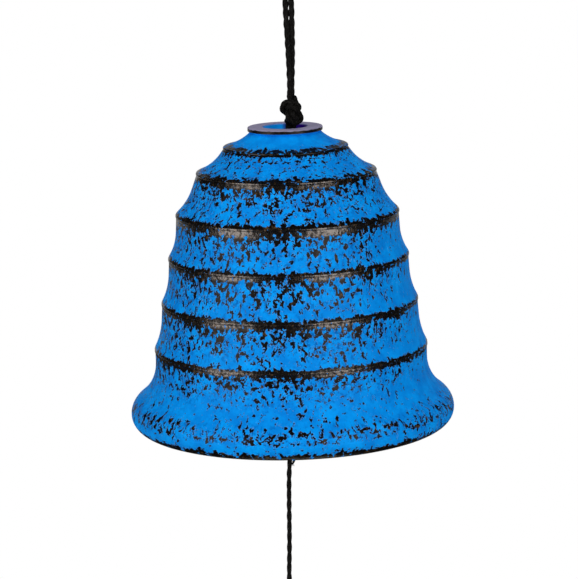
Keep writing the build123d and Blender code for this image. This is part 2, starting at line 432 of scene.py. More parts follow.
@dataclass(frozen=True)
class Wiping:
    """Where the wiped paint leaves the rough lacquer bare.

    Each tier starts under a ridge with bare lacquer, and the blue closes up towards its foot. A band
    gives heights in millimetres and the share of the surface where the lacquer shows there, and
    wiped_side gives angles from the front and what is added to the level there. The collar is the
    slope above the highest ridge, and the belt the part of the lowest tier that has no wiped side.
    height is the bell's, in millimetres, and reach the height that a way of 1 stands for.
    """

    tiers: tuple[Tier, ...] = (
        Tier(0.935, girth=18.0, streak=1.80, rise=1.18, thin=0.40, wiped=0.2, cleaned=0.110),
        Tier(0.852, girth=23.5, streak=1.00, rise=0.80, thin=0.10, wiped=0.5, cleaned=0.004),
        Tier(0.715, girth=27.0, streak=0.85, rise=1.03, thin=-0.45, wiped=1.0, cleaned=0.004),
        Tier(0.570, girth=29.0, streak=0.72, rise=1.08, thin=0.28, wiped=1.0, cleaned=-0.006),
        Tier(0.420, girth=31.0, streak=0.80, rise=1.00, thin=0.45, wiped=1.0, cleaned=-0.012),
        Tier(0.267, girth=35.0, streak=0.95, rise=1.22, thin=0.35, wiped=1.0, cleaned=0.030),
    )
    below_ridge: tuple[Pair, ...] = (
        (0.0, 0.999), (0.9, 0.99), (1.3, 0.85), (1.9, 0.60), (2.7, 0.43), (3.8, 0.32), (5.0, 0.23),
        (6.4, 0.15), (7.6, 0.08), (9.0, 0.03), (11.0, 0.01), (14.0, 0.002),
    )
    above_ridge: tuple[Pair, ...] = (
        (0.0, 0.999), (0.5, 0.97), (0.85, 0.62), (1.2, 0.16), (1.7, 0.01),
    )
    above_rim: tuple[Pair, ...] = (
        (0.0, 0.999), (1.4, 0.99), (1.75, 0.75), (2.05, 0.30), (2.35, 0.05), (2.9, 0.01), (3.8, 0.02),
        (4.3, 0.26), (5.2, 0.38), (6.3, 0.35), (7.0, 0.18), (8.4, 0.02),
    )
    wiped_side: tuple[Pair, ...] = (
        (-180.0, 0.03), (-135.0, 0.07), (-100.0, 0.02), (-70.0, 0.0), (18.0, 0.0), (34.0, 0.025),
        (48.0, 0.06), (60.0, 0.105), (78.0, 0.16), (105.0, 0.12), (140.0, 0.03), (180.0, 0.03),
    )
    height: float = 70.4
    reach: float = 20.0
    ridge_gap: float = 0.0004
    belt_top: float = 0.125
    collar_way: float = 0.55
    collar_stretch: Pair = (0.42, 0.9)
    collar_plain: Span = (0.022, 0.026)
    plain_step: float = 0.3
    nose_half: float = 0.62
    nose_edge: float = 1.0
    girth_unit: float = 40.0
    streak_unit: float = 2.0
    cloud_stretch: float = 0.42
    axis_radius: float = 0.5 * MM
    bare_share: float = 0.999
    covered_level: float = 0.75
    spread: float = 0.081
    grain: Cloud = Cloud(880.0, 2.4, 0.7, 0.3)
    contrast: float = 1.55
    tufts: Cloud = Cloud(2300.0, 1.0)
    tuft_share: float = 0.10
    clouds: Cloud = Cloud(230.0, 2.0)
    cloud_shade: Spread = (0.32, 0.68, 0.026, -0.026)
    shade_from: Span = (0.4, 0.5)
    wiped_from: Spread = (0.42, 0.30, 1.0, 0.55)
    cleaned_from: Span = (0.27, 0.34)

    def level(self, share: float) -> float:
        """The grain's value above which a given share of the surface lies."""
        return 0.5 + self.spread * NormalDist().inv_cdf(1 - share)

    def band(self, places: Sequence[Pair], whole: float) -> list[Stop]:
        """A band's heights and shares as stops that give its level over a whole height."""
        return [(height / whole, (self.level(share),)) for height, share in places]

    def nose_row(self) -> list[Stop]:
        """Mark each ridge's nose along the bell's height.

        Returns:
            Stops that give 1 on a nose and 0 elsewhere.
        """
        half, edge = self.nose_half / self.height, self.nose_edge / self.height
        row: list[Stop] = [(0.0, (0.0,))]
        for tier in self.tiers:
            for off, value in ((-edge, 0.0), (-half, 1.0), (half, 1.0), (edge, 0.0)):
                row.append((tier.ridge + off, (value,)))
        return row

    def tier_rows(self) -> tuple[list[Stop], list[Stop], list[Stop]]:
        """Lay out the tiers along the bell's height.

        Returns:
            Stops for the way down from the ridge above and up from the ridge below, stops that hold
            each tier's own girth, streak and wiping, and stops that hold its cleaning.
        """
        first, gap = self.tiers[0], self.ridge_gap
        above = (1 - first.ridge) * self.height / self.reach * first.rise
        ways: list[Stop] = [(1.0, (self.collar_way, above)), (first.ridge + gap, (self.collar_way, 0.0))]
        held: list[Stop] = [(first.ridge, (*self.collar_stretch, first.wiped))]
        cleaned: list[Stop] = []
        for tier, below in zip(self.tiers, (*self.tiers[1:], None)):
            foot = below.ridge if below else 0.0
            length = (tier.ridge - foot) * self.height / self.reach
            top_up, foot_up = (min(1.0, length * below.rise), 0.0) if below else (1.0, 1.0)
            ways.append((tier.ridge, (max(0.0, tier.thin) / self.reach, top_up)))
            if tier.thin < 0:
                part = -tier.thin / self.height / (tier.ridge - foot)
                lower = tier.ridge + tier.thin / self.height
                ways.append((lower, (0.0, top_up + (foot_up - top_up) * part)))
            ways.append((foot + gap * bool(foot), (length + tier.thin / self.reach, foot_up)))
            held.append((foot, (tier.girth / self.girth_unit, tier.streak / self.streak_unit, tier.wiped)))
            cleaned.append((foot, (0.5 + tier.cleaned,)))
        held[-1] = (self.belt_top, held[-1][1])
        held.append((0.0, held[-1][1][:2]))
        return ways, held, cleaned

    def spot(self, g: Graph) -> Spot:
        """Work out where on the casting a point lies and how the wiping left it.

        Args:
            g: The material's graph.

        Returns:
            The outputs that say so.
        """
        here = g.coordinates["Object"]
        x, y, z = g.parts(here)
        radius = g.most(g.from_axis(x, y), self.axis_radius)
        east, north = g.math("DIVIDE", x, radius), g.math("DIVIDE", y, radius)
        low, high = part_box("bell_body")[0].z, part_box("bell_body")[1].z
        share = g.between(z, low, high)
        ways, held, cleaned = self.tier_rows()
        down, up, _ = g.rows(share, ways)
        girth, streak, wiped = g.rows(share, held, steps=True)
        turn = g.times(girth, self.girth_unit * MM)
        east_turn, north_turn = g.times(east, turn), g.times(north, turn)
        around = g.vector(east_turn, north_turn, g.times(z, g.times(streak, self.streak_unit)))
        hanging = g.vector(east_turn, north_turn, g.times(z, self.cloud_stretch))
        clouds = g.noise(hanging, self.clouds)

        azimuth = g.math("ARCTAN2", x, g.times(y, -1.0))
        sides = [(0.5 + degrees / 360, (extra,)) for degrees, extra in self.wiped_side]
        side = g.rows(g.between(azimuth, -math.pi, math.pi), sides)[0]
        below = g.rows(down, self.band(self.below_ridge, self.reach))[0]
        cleaner = g.times(side, wiped, g.between(below, *self.wiped_from))
        shade = g.times(g.between(clouds, *self.cloud_shade), g.between(below, *self.shade_from))
        fewer = g.minus(g.rows(share, cleaned, steps=True)[0], 0.5)
        level = g.plus(self.bands(g, share, below, up), cleaner, shade)
        level = g.scaled(fewer, g.between(below, *self.cleaned_from), level)
        over = self.over_level(g, share, around, level)
        return Spot(here, radius, east, share, around, clouds, level, over)

    def bands(self, g: Graph, share: Socket, below: Socket, up: Socket) -> Socket:
        """Work out the level that all bands give: below and above the ridges, on them and at the lip.

        Args:
            g: The material's graph.
            share: The height as a share of the bell's.
            below: The level that the bands below the ridges give.
            up: The way up from the ridge below.

        Returns:
            The level, which is the lowest of them.
        """
        above = g.rows(up, self.band(self.above_ridge, self.reach))[0]
        lip = g.rows(share, self.band(self.above_rim, self.height))[0]
        nose = g.rows(share, self.nose_row())[0]
        nose = g.between(nose, 0.0, 1.0, self.covered_level, self.level(self.bare_share))
        return g.least(below, above, lip, nose)

    def over_level(self, g: Graph, share: Socket, around: Socket, level: Socket) -> Socket:
        """Work out how far the grain lies above the level.

        Args:
            g: The material's graph.
            share: The height as a share of the bell's.
            around: The place on the cloth wrapped round the tier.
            level: The level there.

        Returns:
            The grain less the level, and less still on the plain top of the collar.
        """
        grain = g.scaled(g.noise(around, self.grain), self.contrast, 0.5 - self.contrast / 2)
        tufts = g.noise(around, self.tufts)
        over = g.minus(g.scaled(tufts, self.tuft_share, g.minus(grain, self.tuft_share / 2)), level)
        plain = g.between(share, *(self.tiers[0].ridge + step for step in self.collar_plain))
        return g.minus(over, g.times(plain, self.plain_step))


@dataclass(frozen=True)
class BellPaint:
    """Blue paint wiped over rough brown-black lacquer, which shows in every hollow of the casting.

    The blue is dull and the lacquer shiny, most of all where it is solid, in the bands under the
    ridges. inner_wall gives shares of the bell's height and the cavity's radius in millimetres.
    """

    blue: Colour = (0.0004, 0.288, 0.862)
    deep_blue: Colour = (0.0003, 0.193, 0.68)
    dusk_blue: Colour = (0.0003, 0.075, 0.34)
    edge_highlight_blue: Colour = (0.15, 0.33, 0.74)
    boss_painted_reflection: Colour = (0.28, 0.24, 0.35)
    bowl_painted_shade: Colour = (0.014, 0.001, 0.13)
    lacquer: Colour = (0.0022, 0.0019, 0.0019)
    worn: Colour = (0.11, 0.060, 0.022)
    wiping: Wiping = Wiping()
    boss: Boss = Boss()
    inner_wall: tuple[Pair, ...] = (
        (0.0, 33.6), (0.05, 34.4), (0.14, 32.0), (0.30, 29.4), (0.55, 26.4), (0.72, 23.8),
        (0.86, 17.2), (0.91, 12.0), (0.924, 8.8), (0.928, 0.0),
    )
    wall_unit: float = 40.0
    wall_edge: float = 0.2 * MM
    hollow_edge: Span = (-0.003, 0.009)
    thin_highlight_edge: Span = (-0.050, -0.003)
    edge_highlight_share: float = 0.5
    tones: Cloud = Cloud(260.0, 3.0, 0.6, span=(0.35, 0.65))
    dots: Cloud = Cloud(1350.0, 2.0, 0.6, 0.3, span=(0.54, 0.63))
    dots_from: Spread = (0.72, 0.56, 0.0, 0.75)
    rust: Cloud = Cloud(1000.0, 3.0, 0.6, span=(0.58, 0.70, 0.0, 0.65))
    solid_from: Span = (0.46, 0.38)
    solid_foot: Spread = (0.03, 0.06, 0.35, 1.0)
    solid_head: Spread = (0.87, 0.93, 1.0, 0.25)
    breaks: Cloud = Cloud(1500.0, 2.0, 0.6, span=(0.40, 0.54, 0.15, 1.0))
    paint_gloss: float = 0.55
    bare_gloss: Span = (0.34, 0.23)
    uneven: Cloud = Cloud(1500.0, 2.0, span=(0.3, 0.7, -0.04, 0.04))
    paint_index: float = 1.08
    bare_index: Span = (1.21, 1.62)
    casting: Cloud = Cloud(420.0, 3.0, 0.55)
    casting_relief: Relief = (0.23 * MM, 0.85)
    pits: Cloud = Cloud(1700.0, 2.0)
    pits_relief: Relief = (0.04 * MM, 0.7)
    coat_edge: Span = (-0.035, 0.02)
    coat_relief: Relief = (0.10 * MM, 0.9)

    def always_bare(self, g: Graph, spot: Spot) -> Socket:
        """Mark what is never painted: the inside, the boss's edge and the hole.

        Args:
            g: The material's graph.
            spot: Where the point lies.

        Returns:
            1 where the casting is bare, and 0 elsewhere.
        """
        boss, radius = self.boss, spot.radius
        wall = [(share, (inner / self.wall_unit,)) for share, inner in self.inner_wall]
        reach = g.times(g.rows(spot.share, wall)[0], self.wall_unit * MM)
        inside = g.between(g.minus(reach, radius), -self.wall_edge, self.wall_edge)
        under_top = g.between(g.minus(spot.share, g.noise(spot.here, boss.ragged)), *boss.side_top)
        side = g.times(g.between(spot.share, *boss.side), under_top, g.between(radius, *boss.side_radius))
        return g.most(inside, side, g.between(radius, *boss.bore_radius))

    def coat(self, g: Graph, spot: Spot, thin: Socket, on_top: Socket) -> Socket:
        """Colour the blue coat, with a painted reflection on the boss's flat top and painted shade in its
        bowl.

        Args:
            g: The material's graph.
            spot: Where the point lies.
            thin: 1 where the coat is thin, towards an edge, where it is lightened, partly as a painted
                highlight of the raised paint edge.
            on_top: 1 on the boss's flat top, which gets the painted reflection.

        Returns:
            The coat's colour.
        """
        tone = g.mix(g.noise(spot.here, self.tones), self.deep_blue, self.blue)
        dots = g.times(g.noise(spot.around, self.dots), g.between(spot.level, *self.dots_from))
        # lighter blue where the coat thins at an edge: partly the thin coat, partly a painted highlight of
        # the raised paint edge
        paint = g.mix(g.times(thin, self.edge_highlight_share), g.mix(dots, tone, self.dusk_blue), self.edge_highlight_blue)
        # painted shade in the boss's bowl, darker towards its +X side
        bowl = g.between(spot.radius, *self.boss.bowl_radius)
        bowl_shade = g.between(g.scaled(spot.clouds, self.boss.bowl_shade_cloud, spot.east), *self.boss.bowl_shade_from)
        paint = g.mix(g.times(bowl, bowl_shade), paint, self.bowl_painted_shade)
        # painted reflection: the boss's flat top turns pale violet, as if it mirrored the white surround
        return g.mix(g.times(on_top, self.boss.painted_reflection_share), paint, self.boss_painted_reflection)

    def solid_lacquer(self, g: Graph, spot: Spot) -> Socket:
        """Mark where the lacquer is whole and shiny, in the bands under the ridges.

        Args:
            g: The material's graph.
            spot: Where the point lies.

        Returns:
            1 where it is whole, and 0 where it is only specks.
        """
        return g.times(g.between(spot.level, *self.solid_from), g.noise(spot.around, self.breaks),
                       g.between(spot.share, *self.solid_foot), g.between(spot.share, *self.solid_head))

    def material(self) -> bpy.types.Material:
        """Build the painted casting's material.

        Returns:
            The finished material.
        """
        g = Graph(bpy.data.materials.new("brushed_blue_over_lacquer"))
        spot = self.wiping.spot(g)
        always = self.always_bare(g, spot)
        hollow = g.most(g.between(spot.over, *self.hollow_edge), always)
        # thin also places the painted highlight on the coat's edges
        thin = g.most(g.between(spot.over, *self.thin_highlight_edge), always)
        # on_top places the painted reflection on the boss's flat top, and raises the index there
        on_top = g.times(g.between(spot.share, *self.boss.top),
                         g.between(spot.radius, *self.boss.top_radius))
        bare = g.mix(g.noise(spot.around, self.rust), self.lacquer, self.worn)
        colour = g.mix(hollow, self.coat(g, spot, thin, on_top), bare)
        solid = self.solid_lacquer(g, spot)
        gloss = g.between(hollow, 0.0, 1.0, self.paint_gloss, g.between(solid, 0.0, 1.0, *self.bare_gloss))
        index = g.between(g.most(hollow, on_top), 0.0, 1.0, self.paint_index,
                          g.between(solid, 0.0, 1.0, *self.bare_index))
        casting = g.bump(g.noise(spot.here, self.casting), *self.casting_relief)
        pits = g.bump(g.noise(spot.around, self.pits), *self.pits_relief, casting)
        relief = g.bump(g.minus(1.0, g.between(spot.over, *self.coat_edge)), *self.coat_relief, pits)
        return g.finish(Base_Color=colour, Roughness=g.plus(gloss, g.noise(spot.here, self.uneven)),
                        Normal=relief, IOR=index)


@dataclass(frozen=True)
class StrikerIron:
    """Bare dark cast iron with a thin coat of lacquer, a little worn at the edge that strikes."""

    dark: Colour = (0.012, 0.011, 0.011)
    worn: Colour = (0.07, 0.062, 0.055)
    edge_radius: Span = (12.0 * MM, 12.9 * MM)
    chips: Cloud = Cloud(700.0, 4.0, 0.7, span=(0.42, 0.6))
    mottle: Cloud = Cloud(420.0, 4.0, 0.65, span=(0.45, 0.75, 0.0, 0.5))
    gloss: Cloud = Cloud(900.0, 3.0, span=(0.3, 0.7, 0.38, 0.58))
    sand: Cloud = Cloud(1400.0, 4.0, 0.65)
    sand_relief: Relief = (0.10 * MM, 0.8)
    skin: Cloud = Cloud(380.0, 3.0, 0.55)
    skin_relief: Relief = (0.18 * MM, 0.6)
    metal: float = 0.35

    def material(self) -> bpy.types.Material:
        """Build the striker's material.

        Returns:
            The finished material.
        """
        g = Graph(bpy.data.materials.new("dark_cast_iron"))
        here = g.coordinates["Object"]
        x, y, _ = g.parts(here)
        rim = g.between(g.from_axis(x, y), *self.edge_radius, smooth=True)
        edge = g.times(rim, g.noise(here, self.chips))
        colour = g.mix(g.most(edge, g.noise(here, self.mottle)), self.dark, self.worn)
        sand = g.bump(g.noise(here, self.sand), *self.sand_relief)
        skin = g.bump(g.noise(here, self.skin), *self.skin_relief, sand)
        return g.finish(Base_Color=colour, Roughness=g.noise(here, self.gloss), Normal=skin,
                        Metallic=self.metal)


@dataclass(frozen=True)
class CordYarn:
    """Soft black twisted cord, with the lay of its fibres along each ply and lighter fibres that are partly
    painted highlights.
    """

    black: Colour = (0.0006, 0.0006, 0.0006)
    fibre_highlight_grey: Colour = (0.045, 0.045, 0.046)
    fibres_round: float = 14.0
    slant: float = 315.0
    fibre_breaks: float = 260.0
    threads: Cloud = Cloud(1.6, 4.0, 0.7)
    fluff: Cloud = Cloud(5200.0, 3.0, 0.7)
    fibre_highlight_span: Span = (0.26, 0.50)
    dullness: Spread = (0.3, 0.7, 0.55, 0.8)
    thread_relief: Relief = (0.14 * MM, 1.0)
    fluff_relief: Relief = (0.05 * MM, 0.6)
    index: float = 1.16
    sheen: float = 0.006
    sheen_width: float = 0.5

    def material(self) -> bpy.types.Material:
        """Build the cord's material, on a map that runs round the cord and, in metres, along it.

        Returns:
            The finished material.
        """
        g = Graph(bpy.data.materials.new("black_twisted_cord"))
        round_it, along, _ = g.parts(g.coordinates["UV"])
        slanted = g.scaled(along, self.slant, g.times(round_it, self.fibres_round))
        threads = g.noise(g.vector(slanted, g.times(along, self.fibre_breaks), 0.0), self.threads)
        fluff = g.noise(g.coordinates["Object"], self.fluff)
        # lighter fibres: partly the yarn's own fibres, partly painted highlights on them
        colour = g.mix(g.between(g.times(threads, fluff), *self.fibre_highlight_span), self.black, self.fibre_highlight_grey)
        down = g.bump(fluff, *self.fluff_relief, g.bump(threads, *self.thread_relief))
        return g.finish(Base_Color=colour, Roughness=g.between(fluff, *self.dullness), Normal=down,
                        IOR=self.index, Sheen_Weight=self.sheen, Sheen_Roughness=self.sheen_width)


@dataclass(frozen=True)
class StripPaper:
    """Handmade paper with long fibres, washed with pale blue towards its lower end.

    A stretch is how much finer a fibre's pattern is across the strip and down it.
    """

    white: Colour = (0.80, 0.775, 0.70)
    cream: Colour = (0.70, 0.665, 0.575)
    fibre_white: Colour = (0.86, 0.84, 0.78)
    wash: Colour = (0.16, 0.38, 0.66)
    wash_heights: Span = (-212.0 * MM, -258.0 * MM)
    wash_share: float = 0.8
    wash_wander: float = 20.0 * MM
    clouds: Cloud = Cloud(75.0, 4.0, 0.55)
    creamed: Span = (0.35, 0.65)
    dullness: Spread = (0.3, 0.7, 0.78, 0.92)
    cross_stretch: Pair = (60.0, 900.0)
    cross_fibres: Cloud = Cloud(1.0, 5.0, 0.6, 2.2, span=(0.60, 0.68))
    long_stretch: Pair = (700.0, 70.0)
    long_fibres: Cloud = Cloud(1.0, 5.0, 0.6, 2.2, span=(0.62, 0.70))
    fibre_share: float = 0.35
    fibre_relief: Relief = (0.08 * MM, 0.8)
    tooth: Cloud = Cloud(2600.0, 4.0, 0.65)
    tooth_relief: Relief = (0.06 * MM, 0.6)

    def material(self) -> bpy.types.Material:
        """Build the paper's material.

        Returns:
            The finished material.
        """
        g = Graph(bpy.data.materials.new("handmade_paper"))
        here = g.coordinates["Object"]
        x, y, z = g.parts(here)
        fibres = [g.noise(g.vector(g.times(x, across), y, g.times(z, down)), cloud)
                  for (across, down), cloud in ((self.cross_stretch, self.cross_fibres),
                                                (self.long_stretch, self.long_fibres))]
        fibre = g.most(*fibres)
        clouds = g.noise(here, self.clouds)
        base = g.mix(g.between(clouds, *self.creamed), self.cream, self.white)
        edge = g.scaled(clouds, self.wash_wander, z)
        share = g.between(edge, *self.wash_heights, 0.0, self.wash_share, smooth=True)
        colour = g.mix(g.times(fibre, self.fibre_share), g.mix(share, base, self.wash), self.fibre_white)
        tooth = g.bump(g.noise(here, self.tooth), *self.tooth_relief)
        return g.finish(Base_Color=colour, Roughness=g.between(clouds, *self.dullness),
                        Normal=g.bump(fibre, *self.fibre_relief, tooth))


# Cord making


def spline_line(points: Sequence[Place], fineness: int = 24) -> np.ndarray:
    """Lay a smooth line through a cord's given points and read it back.

    Args:
        points: The route's points.
        fineness: How many steps the curve takes between two points.

    Returns:
        The line's places in metres, one row each.
    """
    curve = bpy.data.curves.new("route", "CURVE")
    curve.dimensions = "3D"
    curve.resolution_u = fineness
    spline = curve.splines.new("NURBS")
    spline.points.add(len(points) - 1)
    for control, point in zip(spline.points, points):
        control.co = (*mm(*point), 1.0)
    spline.order_u = 3
    spline.use_endpoint_u = True
    holder = bpy.data.objects.new("route", curve)
    bpy.context.scene.collection.objects.link(holder)
    bpy.context.view_layer.update()
    mesh = bpy.data.meshes.new_from_object(holder)
    line = np.array([v.co for v in mesh.vertices], float)
    bpy.data.objects.remove(holder)
    bpy.data.curves.remove(curve)
    bpy.data.meshes.remove(mesh)
    return line


def run_of(line: np.ndarray) -> np.ndarray:
    """How far along a line each of its places lies."""
    return np.r_[0, np.cumsum(np.linalg.norm(np.diff(line, axis=0), axis=1))]


def length_of(line: np.ndarray) -> float:
    """The length of a line of places."""
    return float(np.linalg.norm(np.diff(line, axis=0), axis=1).sum())


def even(line: np.ndarray, step: float) -> np.ndarray:
    """Space a line's places evenly.

    Args:
        line: The places to follow.
        step: The distance wanted between two places.

    Returns:
        The evenly spaced places, with both ends kept.
    """
    run = run_of(line)
    at = np.linspace(0, run[-1], max(2, round(run[-1] / step) + 1))
    return np.stack([np.interp(at, run, line[:, k]) for k in range(3)], axis=1)


def smooth(line: np.ndarray, parts: int = 6) -> np.ndarray:
    """Round off a tied knot's coarse line with a soft curve through its places.

    Args:
        line: The coarse places.
        parts: Steps between two places.

    Returns:
        The finer line, with both ends kept.
    """
    padded = np.vstack([2 * line[0] - line[1], line, 2 * line[-1] - line[-2]])
    t = np.linspace(0, 1, parts, endpoint=False)[:, None]
    rows = []
    for a, b, c, d in zip(padded, padded[1:], padded[2:], padded[3:]):
        rows.append(0.5 * (2 * b + (c - a) * t + (2 * a - 5 * b + 4 * c - d) * t**2
                           + (3 * b - a - 3 * c + d) * t**3))
    return np.vstack([*rows, line[-1:]])


@dataclass(frozen=True)
class Lay:
    """How a strand of cord is made: plies twisted together, pressed a little into each other.

    ply_share is a ply's width as a share of the strand's. swell is how far the strand's width comes
    and goes, by swell_rate radians a millimetre. side_hint is a direction that no cord starts in.
    """

    diameter: float = 1.42 * MM
    plies: int = 2
    pitch: float = 4.6 * MM
    ply_share: float = 0.80
    sides: int = 24
    step: float = 0.22 * MM
    swell: float = 0.035
    swell_rate: float = 1.7
    side_hint: Place = (0.13, 1.0, 0.07)

    def section(self) -> np.ndarray:
        """The strand's outline across its line.

        Returns:
            One row of angle and radius for each corner.
        """
        radius = self.diameter / 2
        ply = radius * self.ply_share
        reach = radius - ply
        rows = []
        for k in range(self.sides):
            angle = 2 * math.pi * k / self.sides
            nearest = min(
                abs((angle - 2 * math.pi * p / self.plies + math.pi) % (2 * math.pi) - math.pi)
                for p in range(self.plies)
            )
            across = reach * math.sin(nearest)
            rows.append((angle, reach * math.cos(nearest) + math.sqrt(ply**2 - across**2)))
        return np.array(rows)

    def route(self, points: Sequence[Place]) -> np.ndarray:
        """Lay the strand's middle along a route's points, as evenly spaced places."""
        return even(spline_line(points), self.step)

    def rings(self, line: np.ndarray, phase: float = 0.0, ends: float = 1.0) -> np.ndarray:
        """Carry the strand's outline along a line, turning with the twist.

        Args:
            line: The evenly spaced places of its middle.
            phase: The twist at the first place, in radians.
            ends: The width at the last place as a share of the rest.

        Returns:
            Corner places by ring.
        """
        ahead = np.gradient(line, axis=0)
        ahead /= np.linalg.norm(ahead, axis=1, keepdims=True)
        side = np.cross(ahead[0], self.side_hint)
        side /= np.linalg.norm(side)
        run = run_of(line)
        outline, made = self.section(), []
        for k, place in enumerate(line):
            side = side - ahead[k] * (side @ ahead[k])
            side /= np.linalg.norm(side)
            up = np.cross(ahead[k], side)
            turn = outline[:, 0] + phase + 2 * math.pi * run[k] / self.pitch
            width = 1 + self.swell * math.sin(run[k] / MM * self.swell_rate + phase)
            left = run[-1] - run[k]
            width *= ends + (1 - ends) * min(1.0, left / self.diameter)
            reach = outline[:, 1] * width
            made.append(place + reach[:, None] * (
                np.cos(turn)[:, None] * side + np.sin(turn)[:, None] * up))
        return np.array(made)

    def knotted(self, lines: Sequence[np.ndarray]) -> list[np.ndarray]:
        """Carry the outline along a knot's strands, each with a twist of its own.

        Args:
            lines: The strands' coarse places.

        Returns:
            Corner places by ring for each strand.
        """
        return [self.rings(even(smooth(line), self.step), phase=k) for k, line in enumerate(lines)]


def strand_mesh(name: str, strands: Sequence[np.ndarray],
                closed: Optional[Sequence[tuple[bool, bool]]] = None) -> bpy.types.Object:
    """Skin strands of cord into one object.

    Args:
        name: The piece's name.
        strands: Rings of corners for each strand.
        closed: For each strand, whether its first and its last ring are closed. Without it all are.

    Returns:
        The new object, with a map round and along each strand.
    """
    places: list[np.ndarray] = []
    faces: list[list[int]] = []
    corners: list[Pair] = []
    for rings, (first, last) in zip(strands, closed or [(True, True)] * len(strands)):
        base, (count, sides) = sum(len(p) for p in places), rings.shape[:2]
        middle = rings.mean(axis=1)
        run = run_of(middle)
        places.append(rings.reshape(-1, 3))
        for k in range(count - 1):
            for s in range(sides):
                t = (s + 1) % sides
                faces.append([base + k * sides + s, base + k * sides + t,
                              base + (k + 1) * sides + t, base + (k + 1) * sides + s])
                corners += [(s / sides, run[k]), ((s + 1) / sides, run[k]),
                            ((s + 1) / sides, run[k + 1]), (s / sides, run[k + 1])]
        for shut, ring, order in ((first, 0, -1), (last, count - 1, 1)):
            if shut:
                places.append(middle[ring][None])
                centre = sum(len(p) for p in places) - 1
                for s in range(sides):
                    pair = (s, (s + 1) % sides)[::order]
                    faces.append([base + ring * sides + pair[0], base + ring * sides + pair[1], centre])
                    corners += [(s / sides, run[ring])] * 3
    mesh = bpy.data.meshes.new(name)
    mesh.from_pydata(np.vstack(places).tolist(), [], faces)
    layer = mesh.uv_layers.new(name="cord_map")
    for loop, corner in zip(layer.data, corners):
        loop.uv = corner
    mesh.polygons.foreach_set("use_smooth", [True] * len(faces))
    mesh.update()
    made = bpy.data.objects.new(name, mesh)
    bpy.context.scene.collection.objects.link(made)
    return made


